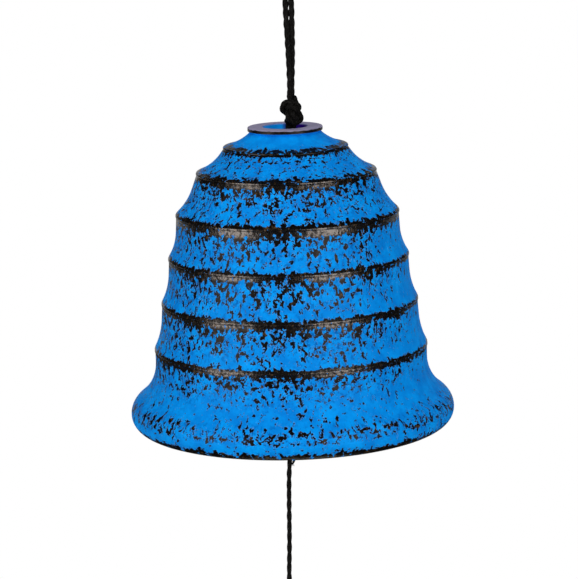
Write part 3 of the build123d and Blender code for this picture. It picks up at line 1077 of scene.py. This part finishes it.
@dataclass(frozen=True)
class KnotTyer:
    """Pulls a loose overhand knot tight: its strands keep their length and push each other away.

    strand is the distance kept between two strands, and count the places along each. The knot
    starts spread times as high as it ends, with its shape loose in size, and it is tight after the
    settled share of the rounds. cut is how much of the knot's curve is left off at each end.
    """

    strand: float = 1.2 * MM
    count: int = 64
    rounds: int = 560
    settled: float = 0.75
    pulls: int = 3
    loose: float = 2.1 * MM
    loose_offset: float = 1.2
    fineness: int = 400
    cut: float = 0.62
    spread: float = 2.2
    softness: float = 0.18
    neighbours: float = 1.5
    crowding: float = 0.35

    def loose_line(self, turn: float, mirrored: bool, half: float) -> np.ndarray:
        """A wide overhand knot whose ends leave up and down.

        Args:
            turn: How far it is turned about the cord, in degrees.
            mirrored: Tie it left-handed.
            half: Half the height that it covers.

        Returns:
            The knot's evenly spaced places, from its top end to its bottom end.
        """
        t = np.linspace(math.pi + self.cut, 3 * math.pi - self.cut, self.fineness)
        x, y = np.sin(t) + 2 * np.sin(2 * t), np.cos(t) - 2 * np.cos(2 * t)
        loop = np.stack([y + self.loose_offset, -np.sin(3 * t), -x], axis=1) * self.loose
        loop = loop if loop[0, 2] > loop[-1, 2] else loop[::-1]
        if mirrored:
            loop[:, 0] = -loop[:, 0]
        a = math.radians(turn)
        spin = np.array([[math.cos(a), -math.sin(a), 0], [math.sin(a), math.cos(a), 0], [0, 0, 1]])
        whole = np.vstack([[(0, 0, half)], loop @ spin.T, [(0, 0, -half)]])
        return even(whole, length_of(whole) / (self.count - 1))[: self.count]

    def side_by_side(self, line: np.ndarray, many: int) -> np.ndarray:
        """Lay strands side by side along a line.

        Args:
            line: The line that they share.
            many: How many strands there are.

        Returns:
            Their places, strand after strand.
        """
        side = np.cross(np.gradient(line, axis=0), (0.0, 1.0, 0.0))
        side /= np.linalg.norm(side, axis=1, keepdims=True) + NEVER_ZERO
        return np.vstack([line + side * ((k - (many - 1) / 2) * self.strand) for k in range(many)])

    def pull(self, strand: np.ndarray, link: float) -> None:
        """Bring each two neighbouring places of a strand towards the right distance.

        Args:
            strand: Its places, which move.
            link: The distance between two of them.
        """
        for odd in (0, 1):
            pairs = (len(strand) - odd) // 2
            a, b = strand[odd:odd + 2 * pairs:2], strand[odd + 1:odd + 1 + 2 * pairs:2]
            gap = b - a
            size = np.linalg.norm(gap, axis=1, keepdims=True) + NEVER_ZERO
            give = 0.5 * (size - link) / size * gap
            a += give
            b -= give

    def push_apart(self, places: np.ndarray, steps: np.ndarray, link: float) -> None:
        """Push places apart where the cord would run through itself.

        Args:
            places: All strands' places, which move.
            steps: How many places apart each two lie on one strand, without end on two strands.
            link: The distance between two neighbours.
        """
        gaps = places[:, None] - places[None]
        size = np.sqrt((gaps**2).sum(2)) + NEVER_ZERO
        near = (size < self.strand) & ~(steps * link < self.neighbours * self.strand)
        push = np.where(near, (self.strand - size) / 2 / size, 0.0)
        crowd = np.maximum(1, near.sum(1) * self.crowding)
        places += (gaps * push[..., None]).sum(1) / crowd[:, None]

    def tie(self, length: float, top: Sequence[Vector], bottom: Sequence[Vector], turn: float,
            mirrored: bool = False) -> list[np.ndarray]:
        """Tighten the knot between given ends.

        Args:
            length: How much cord of each strand the tight knot holds.
            top: Where each strand goes in.
            bottom: Where each strand comes out.
            turn: How far the knot is turned about the cord, in degrees.
            mirrored: Tie it left-handed.

        Returns:
            Each strand's places, from top to bottom.
        """
        mid, half = (top[0].z + bottom[0].z) / 2, (top[0].z - bottom[0].z) / 2
        base = self.loose_line(turn, mirrored, half * self.spread)
        base[:, :2] += np.mean([np.array(v.xy) for v in (*top, *bottom)], axis=0)
        many, count, start = len(top), len(base), length_of(base)
        places = self.side_by_side(base, many)
        strands = np.split(places, many)
        heads = [np.array((*v.xy, 0.0)) for v in top]
        tails = [np.array((*v.xy, 0.0)) for v in bottom]
        own, index = np.repeat(np.arange(many), count), np.tile(np.arange(count), many)
        steps = np.where(own[:, None] == own[None], np.abs(index[:, None] - index[None]), np.inf)
        for round_done in range(self.rounds):
            share = min(1.0, round_done / (self.rounds * self.settled))
            link = ((1 - share) * start + share * length) / (count - 1)
            reach = half * ((1 - share) * self.spread + share)
            for _ in range(self.pulls):
                for strand, head, tail in zip(strands, heads, tails):
                    self.pull(strand, link)
                    strand[0], strand[1] = head + (0, 0, reach), head + (0, 0, reach - link)
                    strand[-1], strand[-2] = tail - (0, 0, reach), tail - (0, 0, reach - link)
            for strand in strands:
                strand[1:-1] += self.softness * ((strand[:-2] + strand[2:]) / 2 - strand[1:-1])
            self.push_apart(places, steps, link)
        return [strand + (0, 0, mid) for strand in strands]


SINGLE_TYER = KnotTyer(strand=1.15 * MM, count=46, loose=1.5 * MM)


def single_knot(heights: Span, turn: float, length: float) -> list[np.ndarray]:
    """Tie an overhand knot in one strand.

    Args:
        heights: Where on the axis the strand goes in and comes out, in millimetres.
        turn: How far the knot is turned about the cord, in degrees.
        length: How much cord the tight knot holds, in metres.

    Returns:
        The one strand's places.
    """
    return SINGLE_TYER.tie(length, [mm(0, 0, heights[0])], [mm(0, 0, heights[1])], turn)


@dataclass(frozen=True)
class Fray:
    """The loose fibres at a cut cord's end, the same each time for one seed."""

    seed: int = 5
    hairs: int = 9
    length: float = 0.5 * MM
    least: float = 0.5
    lean: float = 0.22
    scatter: float = 0.16 * MM
    bow: float = 0.09
    points: int = 6
    taper: float = 0.4
    lay: Lay = Lay(diameter=0.09 * MM, plies=1, ply_share=1.0, sides=5, step=0.15 * MM, swell=0.0)

    def rings(self, at: Vector, ahead: Vector) -> list[np.ndarray]:
        """Spread the fibres out from the cord's end.

        Args:
            at: The middle of the end.
            ahead: The way that the cord points there.

        Returns:
            Corner places by ring for each fibre.
        """
        rng = np.random.default_rng(self.seed)
        rows = []
        for _ in range(self.hairs):
            lean = rng.normal(0, self.lean, 3)
            root = np.array(at) + rng.normal(0, self.scatter, 3)
            way = np.array(ahead) + lean
            steps = np.linspace(0, self.length * rng.uniform(self.least, 1.0), self.points)
            bow = rng.normal(0, self.bow, 3)
            line = [root + way * s + bow * (s / self.length) ** 2 * self.length for s in steps]
            rows.append(self.lay.rings(np.array(line), ends=self.taper))
        return rows


# Helpers for pieces


def dress(piece: bpy.types.Object, material: bpy.types.Material) -> None:
    """Give a piece its finish.

    Args:
        piece: The piece.
        material: Its finish.
    """
    piece.data.materials.clear()
    piece.data.materials.append(material)


def deselect_all() -> None:
    """Leave nothing selected."""
    for thing in bpy.context.view_layer.objects:
        thing.select_set(False)


# Sub-assemblies


@dataclass
class HangingCord:
    """The doubled cord: over the hook, down to the knot above the bell, and through the crown.

    A bend gives the heights between which a piece turns from one body's motion to the next one's.
    """

    yarn: bpy.types.Material
    lay: Lay = Lay()
    diameter: float = 1.15 * MM
    split: float = -16.0 * MM
    loop_bend: Span = (-11.6, -15.6)
    leg_bend: Span = (-17.0, -29.4)
    neck_bend: Span = (-36.7, -39.6)
    route: tuple[Place, ...] = (
        (1.36, -0.58, -29.6), (1.42, -0.58, -26.0), (1.28, -0.50, -21.0), (1.12, -0.14, -16.2),
        (0.94, 0.0, -12.4), (0.87, 0.0, -8.6), (0.76, 0.0, -6.6), (-3.6, 0.0, -1.26),
        (0.0, 0.0, 1.24), (3.6, 0.0, -1.26), (1.88, 0.0, -6.6), (2.26, 0.0, -8.6),
        (2.20, 0.0, -12.4), (2.20, 0.14, -16.2), (2.10, 0.50, -21.0), (1.86, 0.58, -26.0),
        (1.74, 0.58, -29.6),
    )
    necks: tuple[tuple[Place, ...], ...] = (
        ((0.86, -0.15, -36.6), (0.82, -0.12, -37.5), (0.1, -0.05, -39.4), (-0.28, 0.0, -42.45)),
        ((1.98, 0.15, -36.6), (1.92, 0.12, -37.5), (1.18, 0.05, -39.4), (0.88, 0.0, -42.45)),
    )
    knot_lay: Lay = Lay(diameter=1.44 * MM)
    knot_tyer: KnotTyer = KnotTyer(rounds=420, loose=1.7 * MM)
    knot_length: float = 24.0 * MM
    knot_turn: float = 105.0
    knot_shift: Place = (-0.42, 0.0, -0.24)
    knot_press: float = 0.36 * MM
    knot_hold: float = 7.0

    def build(self) -> None:
        """Make the loop, the two legs, the knot and the pair in the crown's hole."""
        line = self.lay.route(self.route)
        rings = self.lay.rings(line)
        above = np.flatnonzero(line[:, 2] >= self.split)
        first, last = int(above[0]), int(above[-1])
        loop = strand_mesh("cord_loop", [rings[first:last + 1]], [(False, False)])
        legs = strand_mesh("cord_legs", [rings[:first + 1], rings[last:]], [(True, False), (False, True)])
        for piece in (loop, legs):
            dress(piece, self.yarn)
        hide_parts("loop_bight")
        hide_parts("hanging_cord")
        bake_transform(loop)
        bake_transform(legs)
        LOG.info("cord_legs, with the loop %.1f mm", length_of(line) / MM)
        self.build_knot()
        self.build_neck()

    def build_knot(self) -> None:
        """Tie the doubled overhand knot that sits right above the boss."""
        top = [mm(*self.route[0]), mm(*self.route[-1])]
        bottom = [mm(*route[0]) for route in self.necks]
        lines = self.knot_tyer.tie(self.knot_length, top, bottom, self.knot_turn, mirrored=True)
        for line in lines:
            along = np.linspace(0, 1, len(line))
            held = np.minimum(1, self.knot_hold * np.minimum(along, 1 - along))
            height = (line[:, 2] - bottom[0].z) / (top[0].z - bottom[0].z)
            line += np.outer(held, mm(*self.knot_shift))
            line[:, 2] -= held * height * self.knot_press
        knot = strand_mesh("tied_knot", self.knot_lay.knotted(lines))
        dress(knot, self.yarn)
        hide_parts("upper_knot")
        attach(knot, Body.KNOT.value)
        LOG.info("tied_knot")

    def build_neck(self) -> None:
        """Lay the twisted pair through the hole in the crown."""
        strands = [self.lay.rings(self.lay.route(points)) for points in self.necks]
        neck = strand_mesh("cord_neck", strands)
        dress(neck, self.yarn)
        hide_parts("neck_cord")
        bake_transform(neck)
        LOG.info("cord_neck")


@dataclass
class Bell:
    """The casting itself: the CAD shape with its wiped paint."""

    paint: bpy.types.Material

    def build(self) -> None:
        """Dress the casting."""
        dress(frame["nodes"]["bell_body"], self.paint)
        LOG.info("bell_body dressed")


@dataclass
class Striker:
    """The stopper knot under the crown, the striker's cord, its iron disc and its knot."""

    yarn: bpy.types.Material
    iron: bpy.types.Material
    lay: Lay = Lay()
    diameter: float = 1.15 * MM
    stopper_tops: tuple[Place, ...] = ((-0.28, 0.0, -42.45), (0.88, 0.0, -42.45))
    stopper_feet: tuple[Place, ...] = ((0.0, 0.0, -48.6), (0.9, 0.75, -48.6))
    stopper_length: float = 21.0 * MM
    stopper_turn: float = 205.0
    stub_step: Place = (0.1, 0.12, -0.9)
    route: tuple[Place, ...] = (
        (0.0, 0.0, -47.0), (0.0, 0.0, -50.0), (0.12, -0.05, -66.0), (-0.1, 0.06, -84.0),
        (0.0, 0.0, -100.0), (0.0, 0.0, -106.0), (0.0, 0.0, -112.2),
    )
    bend: Span = (-47.0, -50.6)
    knot_heights: Span = (-112.15, -115.9)
    knot_turn: float = 40.0
    knot_length: float = 13.2 * MM
    tail_route: tuple[Place, ...] = (
        (0.3, -0.4, -114.6), (0.35, -0.65, -115.6), (-0.1, -0.75, -116.6), (-0.38, -0.74, -117.3),
    )
    tail_lay: Lay = Lay(diameter=0.62 * MM, pitch=2.2 * MM, sides=12)
    tail_taper: float = 0.8
    fray: Fray = Fray()
    fray_at: Place = (-0.36, -0.74, -117.2)
    fray_way: Place = (0.1, -0.1, -1.0)

    def build(self) -> None:
        """Make the pieces from the crown down to the knot that carries the disc."""
        self.build_stopper()
        self.build_cord()
        dress(frame["nodes"]["clapper"], self.iron)
        LOG.info("clapper dressed")
        self.build_knot()
        self.build_tail_fibres()

    def build_stopper(self) -> None:
        """Tie the doubled stopper knot, one strand cut short below it."""
        top = [mm(*place) for place in self.stopper_tops]
        bottom = [mm(*place) for place in self.stopper_feet]
        lines = KnotTyer().tie(self.stopper_length, top, bottom, self.stopper_turn)
        stub = [lines[1][-1] + np.array(self.stub_step) * MM * k for k in (1, 2)]
        lines[1] = np.vstack([lines[1], *stub])
        knot = strand_mesh("stopper_knot", self.lay.knotted(lines))
        dress(knot, self.yarn)
        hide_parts("crown_knot")
        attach(knot, Body.STOPPER.value)
        LOG.info("stopper_knot")

    def build_cord(self) -> None:
        """Lay the single strand from the stopper knot down through the disc."""
        line = self.lay.route(self.route)
        cord = strand_mesh("striker_cord", [self.lay.rings(line)])
        dress(cord, self.yarn)
        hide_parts("clapper_cord")
        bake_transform(cord)
        LOG.info("striker_cord %.1f mm", length_of(line) / MM)

    def build_knot(self) -> None:
        """Tie the knot under the disc, with the cut tail of the cord beside it."""
        rings = self.lay.knotted(single_knot(self.knot_heights, self.knot_turn, self.knot_length))
        rings.append(self.tail_lay.rings(self.tail_lay.route(self.tail_route), ends=self.tail_taper))
        knot = strand_mesh("striker_knot_tied", rings)
        dress(knot, self.yarn)
        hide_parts("clapper_knot")
        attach(knot, Body.STRIKER_KNOT.value)
        LOG.info("striker_knot_tied and its tail")

    def build_tail_fibres(self) -> None:
        """Fray the tail's end."""
        fibres = strand_mesh("tail_fibres", self.fray.rings(mm(*self.fray_at), Vector(self.fray_way)))
        dress(fibres, self.yarn)
        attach(fibres, Body.STRIKER_KNOT.value)
        LOG.info("tail_fibres")


@dataclass
class WindStrip:
    """The cord below the striker, the knot and tie at its end, and the paper strip they carry."""

    yarn: bpy.types.Material
    paper: bpy.types.Material
    lay: Lay = Lay(diameter=1.20 * MM, pitch=5.2 * MM)
    twist: float = 0.8
    diameter: float = 1.15 * MM
    route: tuple[Place, ...] = (
        (-0.92, 0.0, -115.4), (-1.30, 0.0, -118.6), (-1.52, 0.0, -127.0), (-1.66, 0.0, -137.0),
        (-2.06, 0.0, -146.5), (-1.7, 0.0, -150.6), (-0.15, 0.0, -152.4), (0.0, 0.0, -153.5),
    )
    cord_bend: Span = (-115.4, -118.0)
    knot_heights: Span = (-153.0, -157.0)
    knot_turn: float = 250.0
    knot_length: float = 13.4 * MM
    knot_bend: Span = (-152.9, -154.0)
    tie_route: tuple[Place, ...] = (
        (0.0, -0.5, -156.2), (0.1, -1.3, -159.0), (0.0, -1.75, -163.3), (0.0, -1.75, -165.1),
        (0.0, 1.75, -165.1), (0.0, 1.75, -163.3), (-0.1, 1.3, -159.0), (0.0, 0.5, -156.2),
    )
    width: float = 50.0 * MM
    length: float = 118.0 * MM
    top: float = -157.4 * MM
    thickness: float = 0.35 * MM
    cells: tuple[int, int] = (40, 96)
    hole: Place = (0.0, 0.0, -166.9)
    hole_radius: float = 2.5 * MM
    hole_sides: int = 40
    punch_length: float = 8.0 * MM
    soft_edge: float = 0.06 * MM
    curl: float = 1.6 * MM
    curl_growth: float = 1.5
    curl_flat: float = 0.35
    lean: float = 0.8 * MM
    wave: float = 0.10 * MM
    wave_rate: float = 1.3
    wave_fade: int = 6

    def build(self) -> None:
        """Make the cord, the knot, the tie and the strip."""
        self.build_cord()
        self.build_knot()
        self.build_strip(self.build_tie())

    def build_cord(self) -> None:
        """Lay the strand that hangs out of the bell."""
        line = self.lay.route(self.route)
        cord = strand_mesh("strip_strand", [self.lay.rings(line, phase=self.twist)])
        dress(cord, self.yarn)
        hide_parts("strip_cord")
        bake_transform(cord)
        LOG.info("strip_strand %.1f mm", length_of(line) / MM)

    def build_knot(self) -> None:
        """Tie the knot above the strip."""
        lines = single_knot(self.knot_heights, self.knot_turn, self.knot_length)
        knot = strand_mesh("strip_knot_tied", self.lay.knotted(lines))
        dress(knot, self.yarn)
        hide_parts("strip_knot")
        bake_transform(knot)
        LOG.info("strip_knot_tied")

    def build_tie(self) -> bpy.types.Object:
        """Lead the cord through the strip's hole and back.

        Returns:
            The loop through the hole.
        """
        line = self.lay.route(self.tie_route)
        tie = strand_mesh("strip_tie_loop", [self.lay.rings(line)])
        dress(tie, self.yarn)
        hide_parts("strip_tie")
        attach(tie, Body.STRIP.value)
        LOG.info("strip_tie_loop %.1f mm", length_of(line) / MM)
        return tie

    def build_strip(self, tie: bpy.types.Object) -> None:
        """Cut the paper strip, punch its hole, and let it curl a little.

        Args:
            tie: The loop of cord that it hangs from.
        """
        deselect_all()
        middle = Vector((0, 0, self.top - self.length / 2))
        across, down = self.cells
        bpy.ops.mesh.primitive_grid_add(x_subdivisions=across, y_subdivisions=down, size=1.0,
                                        location=middle, rotation=(math.pi / 2, 0, 0))
        strip = bpy.context.object
        strip.name = strip.data.name = "paper_strip"
        strip.dimensions = (self.width, self.length, 0)
        bpy.ops.object.transform_apply(location=True, rotation=True, scale=True)
        self.punch(strip)
        self.bend(strip)
        wall = strip.modifiers.new("thickness", "SOLIDIFY")
        wall.thickness = self.thickness
        wall.offset = 0.0
        soft = strip.modifiers.new("soft_edges", "BEVEL")
        soft.width = self.soft_edge
        soft.segments = 1
        soft.limit_method = "ANGLE"
        for modifier in ("thickness", "soft_edges"):
            bpy.ops.object.modifier_apply(modifier=modifier)
        dress(strip, self.paper)
        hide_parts("wind_strip")
        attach(strip, Body.STRIP.value)
        LOG.info("paper_strip")

    def punch(self, strip: bpy.types.Object) -> None:
        """Cut the round hole for the tie.

        Args:
            strip: The flat strip.
        """
        deselect_all()
        bpy.ops.mesh.primitive_cylinder_add(vertices=self.hole_sides, radius=self.hole_radius,
                                            depth=self.punch_length, location=mm(*self.hole),
                                            rotation=(math.pi / 2, 0, 0))
        bore = bpy.context.object
        deselect_all()
        strip.select_set(True)
        bpy.context.view_layer.objects.active = strip
        cutter = strip.modifiers.new("punch", "BOOLEAN")
        cutter.object = bore
        cutter.operation = "DIFFERENCE"
        cutter.solver = "EXACT"
        bpy.ops.object.modifier_apply(modifier="punch")
        bpy.data.objects.remove(bore)

    def bend(self, strip: bpy.types.Object) -> None:
        """Let the strip curl and lean towards its foot, with a slight wave in its cut edges.

        Args:
            strip: The flat strip.
        """
        for v in strip.data.vertices:
            down = min(1.0, max(0.0, (self.top - v.co.z) / self.length))
            across = v.co.x / (self.width / 2)
            curled = self.curl * down**self.curl_growth * (across**2 - self.curl_flat)
            v.co.y += curled + self.lean * down**2 * across
            waved = math.sin(v.co.z / MM * self.wave_rate + across)
            v.co.x += self.wave * waved * abs(across) ** self.wave_fade


# Studio


@dataclass
class StudioCamera:
    """The camera where the photograph's stood, worked out from the bell's outline."""

    frame_pixels: tuple[int, int] = (578, 579)
    focal_pixels: float = 2471.7
    sensor: float = 36.0
    clip: Span = (0.01, 100.0)
    distance: float = 0.578
    elevation: float = 11.04
    aim: Place = (-0.12, 0.0, -75.37)
    roll: float = 1.6

    def build(self) -> None:
        """Place the camera and make it the scene's."""
        data = bpy.data.cameras.new("camera")
        data.sensor_width = self.sensor
        data.lens = self.focal_pixels * self.sensor / max(self.frame_pixels)
        data.clip_start, data.clip_end = self.clip
        camera = bpy.data.objects.new("camera", data)
        bpy.context.scene.collection.objects.link(camera)
        up = math.radians(self.elevation)
        back = Vector((0, -math.cos(up), math.sin(up)))
        camera.location = mm(*self.aim) + back * self.distance
        turn = (-back).to_track_quat("-Z", "Y").to_matrix().to_4x4()
        roll = Matrix.Rotation(math.radians(-self.roll), 4, "Z")
        camera.matrix_world = Matrix.Translation(camera.location) @ turn @ roll
        bpy.context.scene.camera = camera
        LOG.info("camera")


@dataclass(frozen=True)
class SoftBox:
    """One soft lamp that faces the bell.

    mirrored says whether shiny places show it, and lights whether it lights matt ones.
    """

    name: str
    azimuth: float
    elevation: float
    distance: float
    size: Pair
    power: float
    mirrored: bool = True
    lights: bool = True
    tint: Colour = (1.0, 1.0, 1.0)

    def build(self, target: Vector) -> None:
        """Place the lamp and turn it to the bell.

        Args:
            target: The place that it faces.
        """
        data = bpy.data.lights.new(self.name, "AREA")
        data.shape = "RECTANGLE"
        data.size, data.size_y = self.size
        data.energy = self.power
        data.color = self.tint
        lamp = bpy.data.objects.new(self.name, data)
        lamp.visible_glossy = self.mirrored
        lamp.visible_diffuse = self.lights
        bpy.context.scene.collection.objects.link(lamp)
        a, e = math.radians(self.azimuth), math.radians(self.elevation)
        away = Vector((math.sin(a) * math.cos(e), -math.cos(a) * math.cos(e), math.sin(e)))
        lamp.location = target + away * self.distance
        lamp.rotation_mode = "QUATERNION"
        lamp.rotation_quaternion = (-away).to_track_quat("-Z", "Y")


@dataclass
class Studio:
    """A pale floor under the hanging bell, a white surround and soft lamps.

    What shiny places mirror goes from front_gleam before the bell to a paler back, over the span
    floor_turn of the floor and sky_turn of the surround.
    """

    floor_height: float = -0.300
    floor_size: float = 14.0
    floor_colour: Colour = (0.86, 0.86, 0.86)
    floor_lift: float = 0.25
    floor_white: Span = (0.20, 0.44)
    floor_turn: Span = (0.7, 2.4)
    floor_gleam: float = 0.9
    sky_turn: Span = (0.88, 1.0)
    sky_gleam: float = 0.8
    front_gleam: float = 0.02
    ambient: float = 0.32
    target: Place = (0.0, 0.0, -75.0)
    lamps: tuple[SoftBox, ...] = (
        SoftBox("left_box", -56.0, 20.0, 0.85, (0.50, 1.20), 2.7, mirrored=False),
        SoftBox("right_box", 42.0, 20.0, 0.90, (0.72, 1.25), 3.0, mirrored=False),
        SoftBox("front_box", -4.0, 12.0, 1.00, (0.80, 0.80), 3.9, mirrored=False, tint=(1.0, 1.0, 0.82)),
        SoftBox("top_box", 0.0, 80.0, 0.9, (0.8, 0.8), 1.9, mirrored=False),
        SoftBox("back_fill", 165.0, 25.0, 1.1, (0.9, 0.9), 2.2, mirrored=False),
        SoftBox("left_gleam", -55.0, 6.0, 0.85, (0.56, 0.70), 7.0, lights=False, tint=(1.0, 0.88, 0.80)),
        SoftBox("right_gleam", 38.0, 6.0, 0.90, (0.60, 0.70), 8.0, lights=False, tint=(1.0, 0.88, 0.80)),
    )

    def build(self) -> None:
        """Make the floor, the surround and the lamps."""
        self.build_floor()
        self.build_world()
        for lamp in self.lamps:
            lamp.build(mm(*self.target))
        bpy.context.scene.view_settings.view_transform = "Standard"
        LOG.info("studio")

    def build_floor(self) -> None:
        """Lay the floor: it takes the bell's shadow near it and is plain white further off."""
        deselect_all()
        bpy.ops.mesh.primitive_plane_add(size=self.floor_size, location=(0, 0, self.floor_height))
        floor = bpy.context.object
        floor.name = "floor"
        g = Graph(bpy.data.materials.new("pale_floor"))
        x, y, _ = g.parts(g.coordinates["Object"])
        rays = g.node("ShaderNodeLightPath").outputs
        matt = g.named("ShaderNodeBsdfDiffuse", Color=(*self.floor_colour, 1.0))
        near = g.ordered("ShaderNodeAddShader", matt,
                         g.named("ShaderNodeEmission", Strength=self.floor_lift))
        far = g.between(g.from_axis(x, y), *self.floor_white, smooth=True)
        lit = g.ordered("ShaderNodeMixShader", far, near, g.named("ShaderNodeEmission"))
        gleam = g.between(y, *self.floor_turn, self.front_gleam, self.floor_gleam, smooth=True)
        unseen = g.ordered("ShaderNodeMixShader", rays["Is Glossy Ray"], matt,
                           g.named("ShaderNodeEmission", Strength=gleam))
        clear = g.most(rays["Is Camera Ray"], rays["Is Transmission Ray"])
        shown = g.ordered("ShaderNodeMixShader", clear, unseen, lit)
        behind = g.node("ShaderNodeNewGeometry").outputs["Backfacing"]
        g.surface(g.ordered("ShaderNodeMixShader", behind, shown, g.named("ShaderNodeBsdfTransparent")))
        floor.data.materials.append(g.owner)

    def build_world(self) -> None:
        """Surround the scene with white for the camera and soft even light for the rest."""
        world = bpy.data.worlds.new("surround")
        bpy.context.scene.world = world
        g = Graph(world)
        rays = g.node("ShaderNodeLightPath").outputs
        _, y, _ = g.parts(g.coordinates["Generated"])
        gleam = g.between(y, *self.sky_turn, self.front_gleam, self.sky_gleam, smooth=True)
        level: Value = self.ambient
        strengths = {"Is Glossy Ray": gleam, "Is Transmission Ray": 1.0, "Is Camera Ray": 1.0}
        for ray, strength in strengths.items():
            level = g.mix(rays[ray], level, strength, numbers=True)
        g.surface(g.named("ShaderNodeBackground", Strength=level))


def main() -> None:
    """Build the camera, the cords and the bell in order."""
    logging.basicConfig(level=logging.INFO, format="%(message)s")
    StudioCamera().build()
    yarn = CordYarn().material()
    HangingCord(yarn).build()
    Striker(yarn, StrikerIron().material()).build()
    WindStrip(yarn, StripPaper().material()).build()
    Bell(BellPaint().material()).build()
    Studio().build()


if __name__ == "__main__":
    main()
